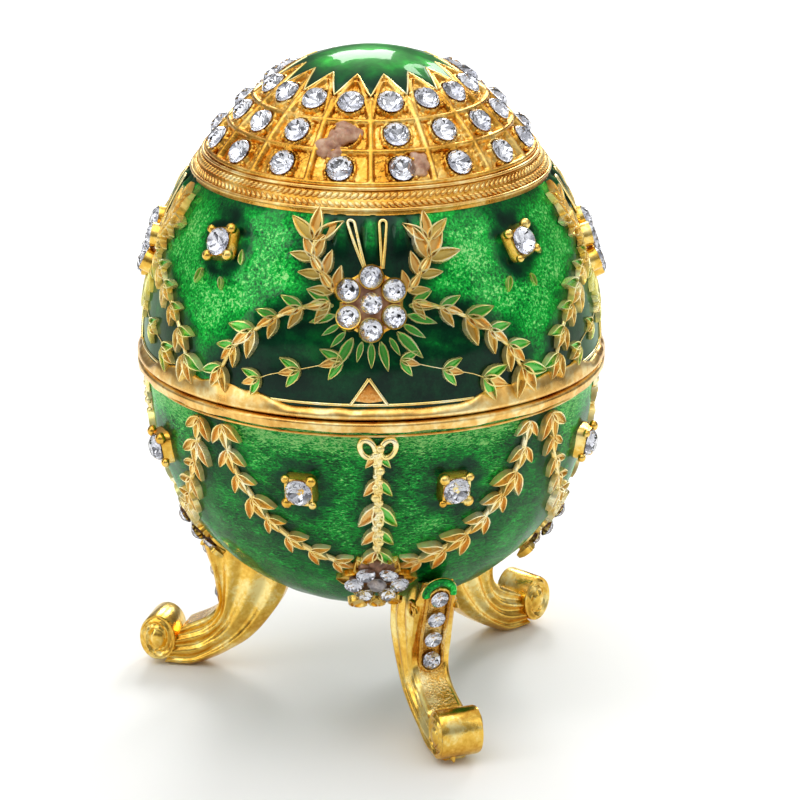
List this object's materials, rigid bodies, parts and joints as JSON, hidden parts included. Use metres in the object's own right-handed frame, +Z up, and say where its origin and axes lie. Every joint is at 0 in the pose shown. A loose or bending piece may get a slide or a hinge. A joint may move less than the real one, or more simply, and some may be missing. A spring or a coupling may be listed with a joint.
{
  "type": "jewelled egg trinket box",
  "caption": "Small hollow enamelled egg box with a lift-off lid, gilt garlands, a jewelled trellis and scroll legs.",
  "frame": {"origin": "middle of the outline, on the surface that the feet stand on", "axes": "+Z up through the top of the egg, -Y towards the side that the picture shows, +X to the right of that side"},
  "size_m": [0.0525, 0.0518, 0.0733],
  "materials": {
    "green_enamel": "translucent glossy enamel over stippled cast metal",
    "gilt_metal": "bright gold plating over a cast metal",
    "cut_glass": "clear faceted stones",
    "setting_adhesive": "dried brownish adhesive between the stones"
  },
  "bodies": {
    "root": {"lid_shell": "green_enamel", "base_shell": "green_enamel", "leg_front": "gilt_metal", "leg_left": "gilt_metal", "leg_right_rear": "gilt_metal", "upper_rosette_front": "cut_glass", "lower_rosette_front": "cut_glass", "upper_rosette_right": "cut_glass", "lower_rosette_right": "cut_glass", "upper_rosette_back": "cut_glass", "lower_rosette_back": "cut_glass", "upper_rosette_left": "cut_glass", "lower_rosette_left": "cut_glass", "lid_stone_1": "cut_glass", "lid_stone_2": "cut_glass", "lid_stone_3": "cut_glass", "lid_stone_4": "cut_glass", "base_stone_1": "cut_glass", "base_stone_2": "cut_glass", "base_stone_3": "cut_glass", "base_stone_4": "cut_glass", "base_stone_5": "cut_glass", "base_stone_6": "cut_glass", "base_stone_7": "cut_glass", "base_stone_8": "cut_glass", "leg_front_stone_1": "cut_glass", "leg_front_stone_2": "cut_glass", "leg_front_stone_3": "cut_glass", "leg_front_stone_4": "cut_glass", "leg_left_stone_1": "cut_glass", "leg_left_stone_2": "cut_glass", "leg_left_stone_3": "cut_glass", "leg_left_stone_4": "cut_glass", "leg_right_rear_stone_1": "cut_glass", "leg_right_rear_stone_2": "cut_glass", "leg_right_rear_stone_3": "cut_glass", "leg_right_rear_stone_4": "cut_glass"}
  },
  "joints": []
}
